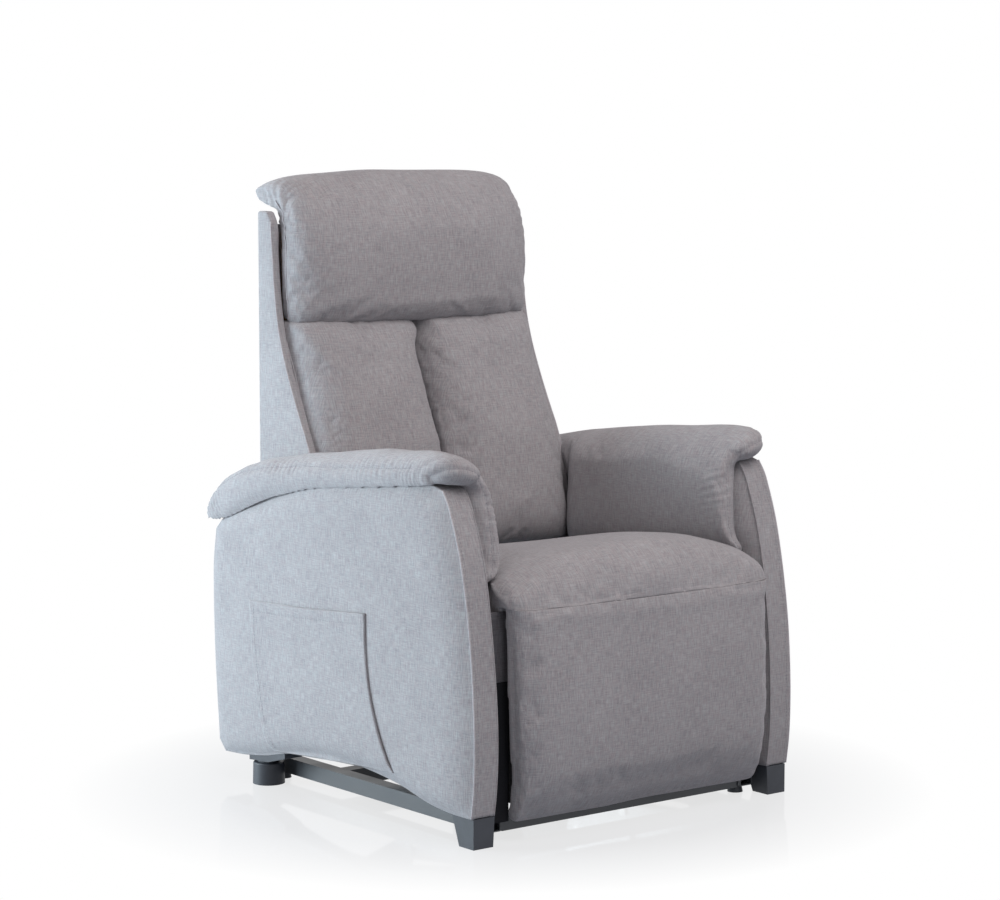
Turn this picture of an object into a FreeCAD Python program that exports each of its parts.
import FreeCAD, Part
import math
import os

# Lift recliner chair with a lift base, a folding leg rest and a reclining back.
# Millimetres, +Z up. The sitter faces -Y and has +X on the left hand.
# Side views are (y, z) points, with y counted from the front faces of the front feet;
# the last step moves every piece so that the origin is on the floor under the middle.

os.makedirs("parts", exist_ok=True)

Vector = FreeCAD.Vector

# Driving dimensions of the upholstered body
ORIGIN_DEPTH = 372.0
ARM_INNER = 297.0
ARM_SPLIT = 315.0
ARM_OUTER = 355.0
PAD_INNER = 256.0
PAD_OUTER = 372.0
SEAT_HALF = 291.0
SEAT_BETWEEN_PADS = 252.5
SEAT_SLOPE = -0.1142
SEAT_BASE = (62.0, 346.0)
BACK_HALF = 268.0
SHELL_HALF = 284.0
SHELL_SKIN = 14.0
SHELL_REAR = 714.0
SHELL_TOP = 1024.0
SHELL_BOTTOM = 285.0
CUSHION_REAR = 671.0
LEG_HALF = 283.0
FOOT_HEIGHT = 51.0

# Driving dimensions of the steel mechanism
PLATE = 5.0
LAYER_STEP = 6.0
BRACKET_FACE = 265.0
RAIL_INNER = 270.0
RAIL_SIZE = 28.0
RAIL_WALL = 2.0
GLIDE_HEIGHT = 15.0
RAIL_REAR = 664.0
LARGE_PIN = 8.0
SMALL_PIN = 6.0
RUNNING_GAP = 0.1
OPEN_PIVOT_GAP = 0.6

# Pivots in side view
LIFT_PIVOT = (90.0, 75.0)
LIFT_LENGTH = 380.0
LIFT_START = 10.0
STABILISER_PIVOT = (54.0, 49.0)
STABILISER_END = (320.0, 80.0)
LIFT_LEVER = 80.0
LIFT_LEVER_START = 65.0
LIFT_TUBE_ARM = 50.0
LIFT_TUBE_START = 85.0
BACK_PIVOT = (520.0, 330.0)
BACK_TRAVEL = 35.0
LEG_PIVOT = (60.0, 330.0)
LEG_KNEE = (70.0, 125.0)
LEG_PANEL_PIVOT = (50.0, 312.0)
LEG_TRAVEL = 34.6
SMALL_LEVER = 76.0
SMALL_TUBE_ARM = 46.0
MOTOR_LUG_Y = 310.0
REAR_CROSS_TUBE = (470.0, 215.0)
SIDE_MOTOR_X = 90.0


def polar(centre, radius, degrees):
    """Point at a radius and angle from a centre, in side view."""
    angle = math.radians(degrees)
    return (centre[0] + radius * math.cos(angle), centre[1] + radius * math.sin(angle))


SEAT_PIVOT = polar(LIFT_PIVOT, LIFT_LENGTH, LIFT_START)
LIFT_PIN = polar(LIFT_PIVOT, LIFT_LEVER, LIFT_LEVER_START)
LIFT_TUBE = polar(LIFT_PIVOT, LIFT_TUBE_ARM, LIFT_TUBE_START)
LIFT_ROD_Z = (LIFT_PIN[1] + LIFT_PIVOT[1] + LIFT_LEVER) / 2
BACK_PIN = polar(BACK_PIVOT, SMALL_LEVER, BACK_TRAVEL / 2 - 90)
BACK_TUBE = polar(BACK_PIVOT, SMALL_TUBE_ARM, BACK_TRAVEL / 2 - 90)
LEG_PIN = polar(LEG_PIVOT, SMALL_LEVER, LEG_TRAVEL / 2 - 90)
LEG_TUBE = polar(LEG_PIVOT, SMALL_TUBE_ARM, LEG_TRAVEL / 2 - 90)
SMALL_ROD_Z = (LEG_PIN[1] + LEG_PIVOT[1] - SMALL_LEVER) / 2
MOTOR_CROSS_TUBE = (MOTOR_LUG_Y, SMALL_ROD_Z)


# Shared shape helpers


def at_x(x):
    """Places a side-view point on the plane at x."""
    return lambda y, z: Vector(x, y, z)


def at_y(y):
    """Places a front-view point on the plane at y."""
    return lambda x, z: Vector(x, y, z)


def bowed_wire(corners, place):
    """Closed outline through (u, v, bow) corners, run anticlockwise.

    The bow is how far the middle of the edge that leaves a corner stands outside the
    straight line, so 0 is a straight edge and a minus value is a hollow.
    """
    edges = []
    for index, (u, v, bow) in enumerate(corners):
        next_u, next_v, _ = corners[(index + 1) % len(corners)]
        start = place(u, v)
        end = place(next_u, next_v)
        if bow == 0:
            edges.append(Part.LineSegment(start, end).toShape())
            continue
        length = math.hypot(next_u - u, next_v - v)
        middle_u = (u + next_u) / 2 + bow * (next_v - v) / length
        middle_v = (v + next_v) / 2 - bow * (next_u - u) / length
        edges.append(Part.Arc(start, place(middle_u, middle_v), end).toShape())
    return Part.Wire(edges)


def box(x_low, x_high, y_low, y_high, z_low, z_high):
    """Box between two corners."""
    return Part.makeBox(x_high - x_low, y_high - y_low, z_high - z_low, Vector(x_low, y_low, z_low))


def side_plate(corners, x_low, x_high):
    """Side-view outline given a thickness along X."""
    face = Part.Face(bowed_wire(corners, at_x(x_low)))
    return face.extrude(Vector(x_high - x_low, 0, 0))


def link_plate(start, end, radius, x_low, x_high):
    """Flat bar with round ends about two side-view points."""
    run = math.dist(start, end)
    off_y = (start[1] - end[1]) / run * radius
    off_z = (end[0] - start[0]) / run * radius
    corners = [
        (start[0] - off_y, start[1] - off_z, 0),
        (end[0] - off_y, end[1] - off_z, radius),
        (end[0] + off_y, end[1] + off_z, 0),
        (start[0] + off_y, start[1] + off_z, radius),
    ]
    return side_plate(corners, x_low, x_high)


def pin(centre, x_low, x_high, radius):
    """Round bar along X about a side-view point."""
    return Part.makeCylinder(radius, x_high - x_low, Vector(x_low, *centre), Vector(1, 0, 0))


def cross_tube(centre, half_width, radius, wall):
    """Hollow round tube along X, from side to side."""
    outer = pin(centre, -half_width, half_width, radius)
    return outer.cut(pin(centre, -half_width, half_width, radius - wall))


def mirrored(shape):
    """The same piece on the other side of the chair."""
    return shape.mirror(Vector(0, 0, 0), Vector(1, 0, 0))


def layer(number):
    """Inner and outer x of a steel layer; layer 1 lies next to the base bracket."""
    inner = BRACKET_FACE - number * LAYER_STEP
    return inner, inner + PLATE


def smooth_loft(wires):
    """Solid with a smooth skin through closed outlines."""
    return Part.makeLoft(wires, True, False)


def stations(half, count):
    """Distances from the middle out to the edge, closer together near the edge."""
    return [half * math.sin(math.pi / 2 * step / count) for step in range(-count, count + 1)]


def edge_fall(share, power):
    """How far a cushion has fallen at a share of its half width: 0 in the middle, 1 at the edge."""
    return 1 - (1 - min(1.0, abs(share)) ** power) ** (1 / power)


def follow(points, y):
    """Value at y on straight lines through (y, value) points."""
    for (y_from, value_from), (y_to, value_to) in zip(points, points[1:]):
        if y <= y_to:
            return value_from + (value_to - value_from) * (y - y_from) / (y_to - y_from)
    return points[-1][1]


def seat_plane(y):
    """Height of the sloping underside of the seat cushion."""
    return SEAT_BASE[1] + SEAT_SLOPE * (y - SEAT_BASE[0])


# Base frame, which stands on the floor


def base_rail():
    """Left square floor tube with the bracket that carries both lift pivots."""
    front, rear = 30.0, RAIL_REAR
    top = GLIDE_HEIGHT + RAIL_SIZE
    outer = RAIL_INNER + RAIL_SIZE
    tube = box(RAIL_INNER, outer, front, rear, GLIDE_HEIGHT, top)
    hollow = box(RAIL_INNER + RAIL_WALL, outer - RAIL_WALL, front, rear,
                 GLIDE_HEIGHT + RAIL_WALL, top - RAIL_WALL)
    bracket_outline = [
        (30, 17, 0), (160, 17, 0), (160, 43, 0), (110, 88, 10), (76, 92, 0), (38, 68, 3),
    ]
    bracket = side_plate(bracket_outline, BRACKET_FACE, RAIL_INNER + 1)
    bracket = bracket.cut(pin(LIFT_PIVOT, BRACKET_FACE, RAIL_INNER + 1, LARGE_PIN))
    bracket = bracket.cut(pin(STABILISER_PIVOT, BRACKET_FACE, RAIL_INNER + 1, SMALL_PIN))
    return tube.cut(hollow).fuse(bracket).removeSplitter()


def base_crossbar(front, depth, low, high):
    """Rectangular tube from rail to rail."""
    bar = box(-BRACKET_FACE, BRACKET_FACE, front, front + depth, low, high)
    return bar.cut(box(-BRACKET_FACE, BRACKET_FACE, front + RAIL_WALL, front + depth - RAIL_WALL,
                       low + RAIL_WALL, high - RAIL_WALL))


def base_rear_crossbar():
    """Rear tube, which reaches the rails behind the brackets."""
    low, high = GLIDE_HEIGHT, GLIDE_HEIGHT + RAIL_SIZE
    bar = box(-RAIL_INNER, RAIL_INNER, 462, 490, low, high)
    return bar.cut(box(-RAIL_INNER, RAIL_INNER, 462 + RAIL_WALL, 490 - RAIL_WALL,
                       low + RAIL_WALL, high - RAIL_WALL))


def base_glides():
    """Four round glides that lift the floor tubes off the floor."""
    centre_x = RAIL_INNER + RAIL_SIZE / 2
    glides = []
    for x in (-centre_x, centre_x):
        for y in (58.0, RAIL_REAR - RAIL_SIZE / 2):
            glides.append(Part.makeCone(14, 11, GLIDE_HEIGHT, Vector(x, y, 0)))
    return Part.makeCompound(glides)


def both_sides(shapes):
    """Group of pieces and their mirror images."""
    return Part.makeCompound(shapes + [mirrored(shape) for shape in shapes])


def base_pivot_pins():
    """Pins that the lift links and the stabiliser links turn on."""
    lift_head = layer(1)[0] - 0.5
    lift_pin = pin(LIFT_PIVOT, lift_head, RAIL_INNER, LARGE_PIN)
    lift_pin = lift_pin.fuse(pin(LIFT_PIVOT, lift_head - 3, lift_head, LARGE_PIN + 3))
    stabiliser_head = layer(3)[0] - 0.5
    stabiliser_pin = pin(STABILISER_PIVOT, stabiliser_head, RAIL_INNER, SMALL_PIN)
    stabiliser_pin = stabiliser_pin.fuse(
        pin(STABILISER_PIVOT, stabiliser_head - 3, stabiliser_head, SMALL_PIN + 3))
    return both_sides([lift_pin, stabiliser_pin])


# Linear drives, each a gearbox with a motor can, a guide tube and a sliding rod


GEAR_LENGTH = 84.0
LUG_LENGTH = 26.0
TUBE_RADIUS = 17.0
ROD_RADIUS = 9.0
EYE_HALF = 9.0
EYE_RADIUS = 11.5


def motor(x, z, lug_y, direction, tube_length):
    """Housing from its lug pin towards one direction along Y, with a bore for the rod."""
    housing = Part.makeBox(66, GEAR_LENGTH, 60, Vector(-33, LUG_LENGTH, -30))
    housing = housing.makeFillet(8, housing.Edges)
    lug = link_plate((0, 0), (LUG_LENGTH + 6, 0), 13, -11, 11)
    can = Part.makeCylinder(25, 108, Vector(0, LUG_LENGTH + 6, -50), Vector(0, 1, 0))
    tube_start = LUG_LENGTH + GEAR_LENGTH - 4
    tube = Part.makeCylinder(TUBE_RADIUS, tube_length + 4, Vector(0, tube_start, 0), Vector(0, 1, 0))
    solid = housing.fuse([lug, can, tube]).removeSplitter()
    bore_start = LUG_LENGTH + 12
    bore_length = tube_start + tube_length + 5 - bore_start
    solid = solid.cut(Part.makeCylinder(ROD_RADIUS + OPEN_PIVOT_GAP, bore_length,
                                        Vector(0, bore_start, 0), Vector(0, 1, 0)))
    solid = solid.cut(pin((0, 0), -11, 11, 11))
    if direction < 0:
        solid.rotate(Vector(0, 0, 0), Vector(0, 0, 1), 180)
    solid.translate(Vector(x, lug_y, z))
    return solid


def motor_rod(x, pin_y, z, slot, direction, length):
    """Rod whose upright slotted eye goes round a drive pin; direction points away from the motor."""
    eye = link_plate((0, -slot), (0, slot), EYE_RADIUS, -EYE_HALF, EYE_HALF)
    shaft = Part.makeCylinder(ROD_RADIUS, length, Vector(0, 8, 0), Vector(0, 1, 0))
    solid = shaft.fuse(eye).removeSplitter()
    solid = solid.cut(link_plate((0, -slot), (0, slot), SMALL_PIN + OPEN_PIVOT_GAP,
                                 -EYE_HALF, EYE_HALF))
    if direction > 0:
        solid.rotate(Vector(0, 0, 0), Vector(0, 0, 1), 180)
    solid.translate(Vector(x, pin_y, z))
    return solid


def drive_tube(tube_centre, pin_centre, half_width, radius, x):
    """Cross tube with two ears and the pin that the rod pushes."""
    tube = pin(tube_centre, -half_width, half_width, radius)
    pieces = [pin(pin_centre, x - EYE_HALF - 8, x + EYE_HALF + 8, SMALL_PIN)]
    for low in (x - EYE_HALF - 7, x + EYE_HALF + 2):
        pieces.append(link_plate(tube_centre, pin_centre, SMALL_PIN + 4, low, low + PLATE))
    solid = tube.fuse(pieces).removeSplitter()
    return solid.cut(pin(tube_centre, -half_width, half_width, radius - 2.5))


def lift_motor_bracket():
    """Two ears on the rear crossbar with the pin that holds the lift motor."""
    anchor = (476.0, LIFT_ROD_Z)
    outline = [(462, 43, 0), (490, 43, 0), (490, LIFT_ROD_Z, 14), (462, LIFT_ROD_Z, 0)]
    ears = [side_plate(outline, 13, 19), side_plate(outline, -19, -13)]
    return ears[0].fuse([ears[1], pin(anchor, -19, 19, 11)]).removeSplitter()


# Lift linkage


def lift_link():
    """Left bell crank: the long lift link and the short lever that the drive pushes."""
    low, high = layer(1)
    plate = link_plate(LIFT_PIVOT, SEAT_PIVOT, 15, low, high)
    plate = plate.fuse(link_plate(LIFT_PIVOT, LIFT_TUBE, 17, low, high)).removeSplitter()
    plate = plate.cut(pin(LIFT_PIVOT, low, high, LARGE_PIN + RUNNING_GAP))
    return plate.cut(pin(SEAT_PIVOT, low, high, LARGE_PIN + RUNNING_GAP))


def stabiliser_links():
    """Pair of slim links that set the tilt of the seat; their upper holes have play."""
    low, high = layer(3)
    plate = link_plate(STABILISER_PIVOT, STABILISER_END, 11, low, high)
    plate = plate.cut(pin(STABILISER_PIVOT, low, high, SMALL_PIN + RUNNING_GAP))
    return both_sides([plate.cut(pin(STABILISER_END, low, high, SMALL_PIN + OPEN_PIVOT_GAP))])


# Seat frame


def mechanism_plate():
    """Left steel side plate that carries the seat pivot, the leg pivot and the back pivot."""
    low, high = layer(2)
    outline = [
        (42, 306, 0), (82, 296, 0), (296, 214, 0), (324, 172, 0), (298, 98, 3), (300, 60, 6),
        (340, 60, 0), (448, 118, 4), (486, 122, 2), (492, 170, 0), (508, 300, 0), (540, 312, 4),
        (540, 348, 0), (42, 348, 3),
    ]
    plate = side_plate(outline, low, high)
    for centre, radius in ((SEAT_PIVOT, LARGE_PIN), (STABILISER_END, SMALL_PIN),
                           (LEG_PIVOT, SMALL_PIN), (BACK_PIVOT, LARGE_PIN)):
        plate = plate.cut(pin(centre, low, high, radius))
    return plate


def frame_pivot_pins():
    """Pins of the side plates: seat, stabiliser, leg and back pivots."""
    plate_low, plate_high = layer(2)
    link_high = layer(1)[1] + 0.5
    seat_pin = pin(SEAT_PIVOT, plate_low, link_high, LARGE_PIN)
    seat_pin = seat_pin.fuse(pin(SEAT_PIVOT, link_high, link_high + 3, LARGE_PIN + 3))
    inner = layer(3)[0] - 0.5
    stabiliser_pin = pin(STABILISER_END, inner, plate_high, SMALL_PIN)
    stabiliser_pin = stabiliser_pin.fuse(pin(STABILISER_END, inner - 3, inner, SMALL_PIN + 3))
    leg_pin = pin(LEG_PIVOT, inner, plate_high, SMALL_PIN)
    back_pin = pin(BACK_PIVOT, inner, plate_high, LARGE_PIN)
    back_pin = back_pin.fuse(pin(BACK_PIVOT, inner - 3, inner, LARGE_PIN + 3))
    return both_sides([seat_pin, stabiliser_pin, leg_pin, back_pin])


ARM_BOLTS = [(60.0, 232.0), (160.0, 218.0), (260.0, 202.0)]


def arm_bolts(side):
    """Bolts that hold one arm to its seat rail; side is 1 on the left."""
    bolts = []
    for centre in ARM_BOLTS:
        inner = layer(2)[0]
        bolt = pin(centre, inner + PLATE, ARM_INNER + 14, 4)
        bolts.append(bolt.fuse(pin(centre, inner, inner + PLATE, 8)))
    if side < 0:
        return [mirrored(bolt) for bolt in bolts]
    return bolts


def seat_rail():
    """Left wooden seat rail, bolted to the arm."""
    rail = box(layer(2)[1], ARM_INNER, 36, 490, 180, 300)
    return rail.cut(Part.makeCompound(arm_bolts(1)))


def seat_cross_rail(front, depth, low):
    """Wooden rail between the side plates with a sloping top."""
    outline = [
        (front, low, 0), (front + depth, low, 0),
        (front + depth, seat_plane(front + depth) - 3, 0), (front, seat_plane(front) - 3, 0),
    ]
    half = layer(2)[0]
    return side_plate(outline, -half, half)


def seat_webbing():
    """Elastic straps from the front rail to the rear rail."""
    front, rear = 92.0, 467.0
    outline = [
        (front, seat_plane(front) - 3, 0), (rear, seat_plane(rear) - 3, 0),
        (rear, seat_plane(rear), 0), (front, seat_plane(front), 0),
    ]
    straps = []
    for number in range(-2, 3):
        straps.append(side_plate(outline, number * 96 - 32, number * 96 + 32))
    return Part.makeCompound(straps)


SEAT_EDGE_DROP = 34.0
SEAT_EDGE_DRAW = 18.0


def seat_section(x):
    """Side view of the seat cushion: its crown drops and its front draws in by the edge."""
    fall = edge_fall(x / SEAT_HALF, 4)
    drop = SEAT_EDGE_DROP * fall
    draw = SEAT_EDGE_DRAW * fall
    corners = [
        (478, seat_plane(478), 0), (498, 392 - drop / 3, 3), (484, 409 - drop, 8),
        (64 + draw, 479 - drop, 3), (-16 + draw, 464 - drop, 5), (-38 + draw, 399, 0),
        (42, 397, 0), (SEAT_BASE[0], SEAT_BASE[1], 0),
    ]
    return bowed_wire(corners, at_x(x))


def seat_cushion():
    """Crowned cushion with a rolled front, cut in where it goes between the arm pads."""
    cushion = smooth_loft([seat_section(x) for x in stations(SEAT_HALF, 6)])
    for low, high in ((SEAT_BETWEEN_PADS, SEAT_HALF + 9), (-SEAT_HALF - 9, -SEAT_BETWEEN_PADS)):
        cushion = cushion.cut(box(low, high, 14, 520, 290, 500))
    return cushion


# Arms


def arm_outline(inset):
    """Side view of an arm: bowed front, arched foot line, falling top; inset all round."""
    return [
        (-8 + inset, 51 + inset, 0), (58, 51 + inset, 0), (113, 55 + inset, -33),
        (600, 57 + inset, 0), (737 - inset, 41 + inset, 3), (756 - inset, 60 + inset, 8),
        (765 - inset, 462 - inset, 14), (430, 575 - inset, 5), (80, 600 - inset, 3),
        (57 + inset, 590 - inset, 14), (-8 + inset, 150, 0),
    ]


def arm_panel():
    """Left wooden arm board."""
    return side_plate(arm_outline(4), ARM_INNER, ARM_SPLIT).cut(Part.makeCompound(arm_bolts(1)))


def arm_padding():
    """Left padded arm body outside the board."""
    return side_plate(arm_outline(0), ARM_SPLIT, ARM_OUTER)


# Lines that the pad's roll follows from front to rear, as (y, value) points
PAD_REAR = 783.0
PAD_INNER_X = [(3, 272), (40, PAD_INNER), (435, PAD_INNER), (495, 290), (700, 290), (PAD_REAR, 302)]
PAD_INNER_Z = [(3, 586), (40, 562), (290, 540), (512, 508), (700, 456), (758, 442), (PAD_REAR, 452)]
PAD_SEAM_Z = [(3, 594), (60, 596), (290, 569), (512, 537), (600, 513), (700, 481), (PAD_REAR, 454)]
PAD_FOLD_X = [(3, 362), (60, PAD_OUTER), (700, PAD_OUTER), (PAD_REAR, 360)]
PAD_FOLD_Z = [(3, 606), (60, 622), (290, 607), (512, 589), (600, 578), (700, 549), (PAD_REAR, 476)]
PAD_RIDGE_X = [(3, 308), (60, 295), (290, 294), (462, 298), (600, 317), (PAD_REAR, 326)]
PAD_RIDGE_Z = [(3, 612), (40, 644), (110, 653), (290, 641), (512, 604), (600, 590), (700, 557),
               (PAD_REAR, 482)]


def arm_pad():
    """Left pad: a soft roll along the arm with a flap down its inner side."""
    wires = []
    front = PAD_RIDGE_Z[0][0]
    middle = (front + PAD_REAR) / 2
    for offset in stations(PAD_REAR - middle, 7):
        y = middle + offset
        corners = [
            (follow(PAD_INNER_X, y), follow(PAD_INNER_Z, y), 0), (357, follow(PAD_SEAM_Z, y), 1.5),
            (follow(PAD_FOLD_X, y), follow(PAD_FOLD_Z, y), 7),
            (follow(PAD_RIDGE_X, y), follow(PAD_RIDGE_Z, y), 9),
        ]
        wires.append(bowed_wire(corners, at_y(y)))
    roll = smooth_loft(wires)
    flap_wires = []
    for x, inset in ((ARM_INNER, 0), (PAD_INNER + 7, 0), (PAD_INNER, 9)):
        corners = [
            (17 + inset, 447 + inset, 0), (96, 421 + inset, 0), (494 - inset, 378 + inset, 0),
            (508 - inset, 562, 0), (60, 590, 0), (46 + inset, 560, 2),
        ]
        flap_wires.append(bowed_wire(corners, at_x(x)))
    flap = Part.makeLoft(flap_wires, True, True)
    core = side_plate(arm_outline(0), ARM_INNER, ARM_OUTER)
    return roll.fuse(flap).cut(core).removeSplitter()


def side_pocket():
    """Storage pocket on the outer face of the right arm, open at the top."""
    outline = [(211, 96, 0), (583, 70, 0), (625, 191, 3), (640, 329, 0), (292, 359, 0), (276, 209, 4)]
    inner = [(228, 106, 0), (574, 82, 0), (611, 191, 3), (629, 370, 0), (306, 400, 0), (291, 209, 4)]
    patch = side_plate(outline, -ARM_OUTER - 12, -ARM_OUTER)
    return patch.cut(side_plate(inner, -ARM_OUTER - 8, -ARM_OUTER))


def front_foot():
    """Left tapered front foot: upright front face, slanted rear face."""
    wires = []
    for z, depth, inner in ((0, 39, 309), (FOOT_HEIGHT, 58, 306)):
        corners = [Vector(inner, 0, z), Vector(350, 0, z), Vector(350, depth, z), Vector(inner, depth, z)]
        wires.append(Part.makePolygon(corners + corners[:1]))
    return Part.makeLoft(wires, True, True)


def rear_foot():
    """Left round cup foot on a collar, under a plate that follows the arm's foot line."""
    x, y = 330.0, 630.0
    cup = Part.makeCone(29, 28, 40, Vector(x, y, 0))
    cup = cup.makeFillet(3, [cup.Edges[0]])
    collar = Part.makeCylinder(20, 8, Vector(x, y, 38))
    plate_outline = [(545, 60, 0), (600, 45, 0), (658, 41, 0), (658, 62, 0), (545, 76, 0)]
    plate = side_plate(plate_outline, ARM_SPLIT + 1, ARM_OUTER - 2)
    solid = cup.fuse([collar, plate]).removeSplitter()
    return solid.cut(side_plate(arm_outline(0), ARM_SPLIT, ARM_OUTER))


def control_box():
    """Power supply box clipped on the rear cross tube, with its round inlet."""
    body = box(-74, -10, 408, 486, 222, 264)
    body = body.makeFillet(4, body.Edges)
    inlet = Part.makeCylinder(9, 8, Vector(-42, 485, 246), Vector(0, 1, 0))
    inlet = inlet.cut(Part.makeCylinder(5, 7, Vector(-42, 487, 246), Vector(0, 1, 0)))
    return body.fuse(inlet).cut(pin(REAR_CROSS_TUBE, -80, 0, 12.5))


# Leg rest


def leg_swing_links():
    """Rear pair of leg links with their knee rivets."""
    low, high = layer(3)
    plate = link_plate(LEG_PIVOT, LEG_KNEE, 12, low, high)
    plate = plate.fuse(link_plate(LEG_PIVOT, LEG_TUBE, 13, low, high)).removeSplitter()
    plate = plate.cut(pin(LEG_PIVOT, low, high, SMALL_PIN + RUNNING_GAP))
    inner = layer(4)[0] - 0.5
    rivet = pin(LEG_KNEE, inner, high, SMALL_PIN).fuse(pin(LEG_KNEE, inner - 3, inner, SMALL_PIN + 3))
    return both_sides([plate.fuse(rivet).removeSplitter()])


def leg_carry_links():
    """Front pair of leg links, from the knee up to the panel, with their rivets."""
    low, high = layer(4)
    plate = link_plate(LEG_KNEE, LEG_PANEL_PIVOT, 10, low, high)
    plate = plate.cut(pin(LEG_KNEE, low, high, SMALL_PIN + RUNNING_GAP))
    inner = layer(5)[0] - 0.5
    rivet = pin(LEG_PANEL_PIVOT, inner, high, SMALL_PIN)
    rivet = rivet.fuse(pin(LEG_PANEL_PIVOT, inner - 3, inner, SMALL_PIN + 3))
    return both_sides([plate.fuse(rivet).removeSplitter()])


LEG_EDGE_DRAW = 14.0
LEG_BOARD_REAR = 28.0
LEG_BOARD_FRONT = 12.0


def leg_brackets():
    """Pair of plates from the leg board back to its pivot."""
    low, high = layer(5)
    outline = [(LEG_BOARD_REAR, 226, 0), (38, 226, 0), (63, 304, 4), (60, 322, 6), (38, 326, 0),
               (LEG_BOARD_REAR, 346, 0)]
    plate = side_plate(outline, low, high)
    return both_sides([plate.cut(pin(LEG_PANEL_PIVOT, low, high, SMALL_PIN + RUNNING_GAP))])


def leg_pad():
    """Bowed leg rest pad that curls under its board."""
    wires = []
    for x in stations(LEG_HALF, 6):
        draw = LEG_EDGE_DRAW * edge_fall(x / LEG_HALF, 4)
        corners = [
            (24, 44, 0), (LEG_BOARD_FRONT, 62, 0), (LEG_BOARD_FRONT, 386, 7),
            (-31 + draw, 345, 6), (-34 + draw, 135, 9),
        ]
        wires.append(bowed_wire(corners, at_x(x)))
    return smooth_loft(wires)


# Backrest


def back_wing():
    """Left padded side of the back shell, deeper towards its foot."""
    outline = [
        (532, SHELL_BOTTOM + 20, 3), (556, SHELL_BOTTOM, 0), (SHELL_REAR, SHELL_BOTTOM, 0),
        (SHELL_REAR, SHELL_TOP, 0), (676, SHELL_TOP - 4, 0), (671, 957, 2), (638, 816, 1),
        (574, 659, 3), (540, 560, 2), (530, 430, 0),
    ]
    return side_plate(outline, SHELL_HALF - SHELL_SKIN, SHELL_HALF)


def back_panel():
    """Padded rear panel of the back shell."""
    half = SHELL_HALF - SHELL_SKIN
    return box(-half, half, SHELL_REAR - SHELL_SKIN, SHELL_REAR, SHELL_BOTTOM, SHELL_TOP)


POST_FRONT = 674.0
POST_REAR = SHELL_REAR - SHELL_SKIN
POST_OUTER = 247.0
POST_INNER = 214.0


def back_post():
    """Left upright of the wooden back frame."""
    return box(POST_INNER, POST_OUTER, POST_FRONT, POST_REAR, 300, 990)


def back_cross_rail(low, high):
    """Wooden rail between the uprights."""
    return box(-POST_INNER, POST_INNER, POST_FRONT, POST_REAR, low, high)


def back_webbing():
    """Elastic straps across the front of the back frame."""
    straps = []
    for number in range(8):
        low = 372 + number * 70
        straps.append(box(-POST_OUTER, POST_OUTER, CUSHION_REAR, POST_FRONT, low, low + 45))
    return Part.makeCompound(straps)


def back_brackets():
    """Pair of steel brackets from the back pivot to the uprights, with the drive lever."""
    low, high = layer(3)
    plate = link_plate(BACK_PIVOT, (684, 345), 16, low, high)
    plate = plate.fuse([link_plate(BACK_PIVOT, BACK_TUBE, 15, low, high),
                        link_plate((687, 345), (687, 470), 12, low, high)]).removeSplitter()
    return both_sides([plate.cut(pin(BACK_PIVOT, low, high, LARGE_PIN + RUNNING_GAP))])


# Front y of a lumbar panel in its middle, at the centre seam and at the side seam
LUMBAR_FOOT = (488.0, 508.0, 514.0)
LUMBAR_MIDDLE = (529.0, 556.0, 566.0)
LUMBAR_TOP = (606.0, 622.0, 656.0)


def lumbar_front(heights, share):
    """Front y at a share across a panel, from 1 at the centre seam to -1 at the side seam."""
    edge = heights[1] if share > 0 else heights[2]
    return heights[0] + (edge - heights[0]) * edge_fall(share, 3)


def back_cushion():
    """Left lumbar panel: bulged between the middle seam and the side seam."""
    wires = []
    half = (BACK_HALF - 1) / 2
    for offset in stations(half, 5):
        share = -offset / half
        corners = [
            (lumbar_front(LUMBAR_FOOT, share), 416, 0), (CUSHION_REAR, 416, 0),
            (CUSHION_REAR, 836, 0), (lumbar_front(LUMBAR_TOP, share), 830, 4),
            (lumbar_front(LUMBAR_MIDDLE, share), 630, 5),
        ]
        wires.append(bowed_wire(corners, at_x(1 + half + offset)))
    return smooth_loft(wires)


PILLOW_FRONT = 596.0
PILLOW_EDGE_DRAW = 56.0
PILLOW_EDGE_DROP = 26.0


def head_pillow():
    """Head cushion that goes over the top of the shell and ends in a drooping lip."""
    wires = []
    for x in stations(BACK_HALF, 6):
        fall = edge_fall(x / BACK_HALF, 4)
        front = PILLOW_FRONT + PILLOW_EDGE_DRAW * fall
        drop = PILLOW_EDGE_DROP * fall
        corners = [
            (front + 14, 842, 0), (CUSHION_REAR, 842, 0), (CUSHION_REAR, SHELL_TOP, 0),
            (SHELL_REAR + 4, SHELL_TOP + 1, 0), (780, 1060 - drop, 3), (776, 1077 - drop, 4),
            (690, 1099 - drop, 7), (front + 16, 1052 - drop, 6),
        ]
        wires.append(bowed_wire(corners, at_x(x)))
    return smooth_loft(wires)


# Every piece under its name


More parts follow.
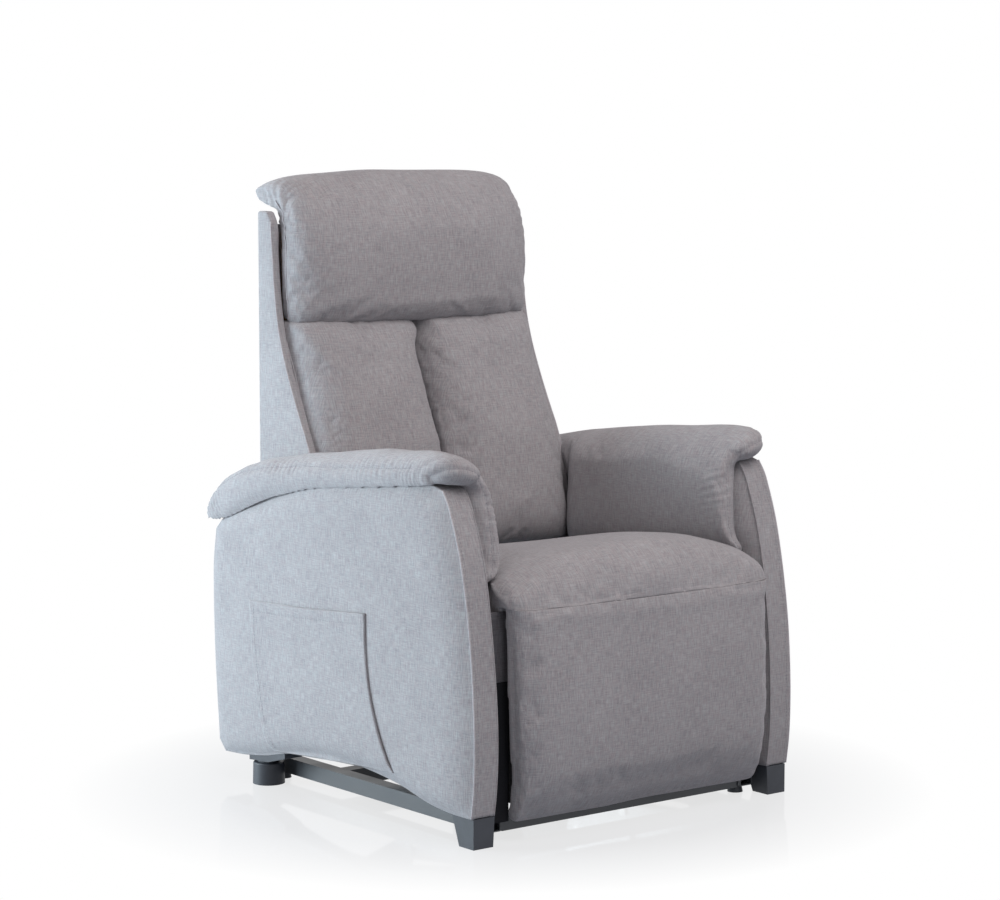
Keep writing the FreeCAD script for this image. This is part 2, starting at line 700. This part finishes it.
def build():
    """All nodes of the chair as a dictionary of shapes."""
    nodes = {
        "base_front_crossbar": base_crossbar(32, 28, 14, 36),
        "base_rear_crossbar": base_rear_crossbar(),
        "base_glides": base_glides(),
        "base_pivot_pins": base_pivot_pins(),
        "lift_motor_bracket": lift_motor_bracket(),
        "lift_motor": motor(0, LIFT_ROD_Z, 476, -1, 175),
        "lift_rod": motor_rod(0, LIFT_PIN[0], LIFT_ROD_Z, 4.2, -1, 200),
        "lift_drive_tube": drive_tube(LIFT_TUBE, LIFT_PIN, layer(1)[0], 10, 0),
        "stabiliser_links": stabiliser_links(),
        "frame_pivot_pins": frame_pivot_pins(),
        "motor_cross_tube": cross_tube(MOTOR_CROSS_TUBE, layer(2)[0], 11, 2),
        "rear_cross_tube": cross_tube(REAR_CROSS_TUBE, layer(2)[0], 12.5, 2),
        "seat_front_rail": seat_cross_rail(92, 22, 288),
        "seat_rear_rail": seat_cross_rail(445, 22, 276),
        "seat_webbing": seat_webbing(),
        "seat_cushion": seat_cushion(),
        "arm_bolts": Part.makeCompound(arm_bolts(1) + arm_bolts(-1)),
        "side_pocket": side_pocket(),
        "control_box": control_box(),
        "leg_motor": motor(-SIDE_MOTOR_X, SMALL_ROD_Z, MOTOR_LUG_Y, -1, 84),
        "leg_rod": motor_rod(-SIDE_MOTOR_X, LEG_PIN[0], SMALL_ROD_Z, 2.2, -1, 110),
        "leg_drive_tube": drive_tube(LEG_TUBE, LEG_PIN, layer(3)[0], 8, -SIDE_MOTOR_X),
        "leg_swing_links": leg_swing_links(),
        "leg_carry_links": leg_carry_links(),
        "leg_brackets": leg_brackets(),
        "leg_board": box(-256, 256, LEG_BOARD_FRONT, LEG_BOARD_REAR, 62, 384),
        "leg_pad": leg_pad(),
        "back_motor": motor(SIDE_MOTOR_X, SMALL_ROD_Z, MOTOR_LUG_Y, 1, 40),
        "back_rod": motor_rod(SIDE_MOTOR_X, BACK_PIN[0], SMALL_ROD_Z, 2.2, 1, 120),
        "back_lever_tube": drive_tube(BACK_TUBE, BACK_PIN, layer(3)[0], 8, SIDE_MOTOR_X),
        "back_brackets": back_brackets(),
        "back_panel": back_panel(),
        "back_top_rail": back_cross_rail(940, 990),
        "back_bottom_rail": back_cross_rail(300, 345),
        "back_webbing": back_webbing(),
        "head_pillow": head_pillow(),
    }
    handed = {
        "base_rail": base_rail(),
        "lift_link": lift_link(),
        "mechanism_plate": mechanism_plate(),
        "seat_rail": seat_rail(),
        "arm_panel": arm_panel(),
        "arm_padding": arm_padding(),
        "arm_pad": arm_pad(),
        "front_foot": front_foot(),
        "rear_foot": rear_foot(),
        "back_wing": back_wing(),
        "back_post": back_post(),
        "back_cushion": back_cushion(),
    }
    for name, shape in handed.items():
        nodes[name + "_left"] = shape
        nodes[name + "_right"] = mirrored(shape)
    return nodes


for node, shape in build().items():
    shape.translate(Vector(0, -ORIGIN_DEPTH, 0))
    if not shape.isValid():
        raise ValueError(node + " is not a valid shape")
    shape.exportStep("parts/" + node + ".step")
    print(node, len(shape.Solids), round(shape.Volume / 1000), "cm3")
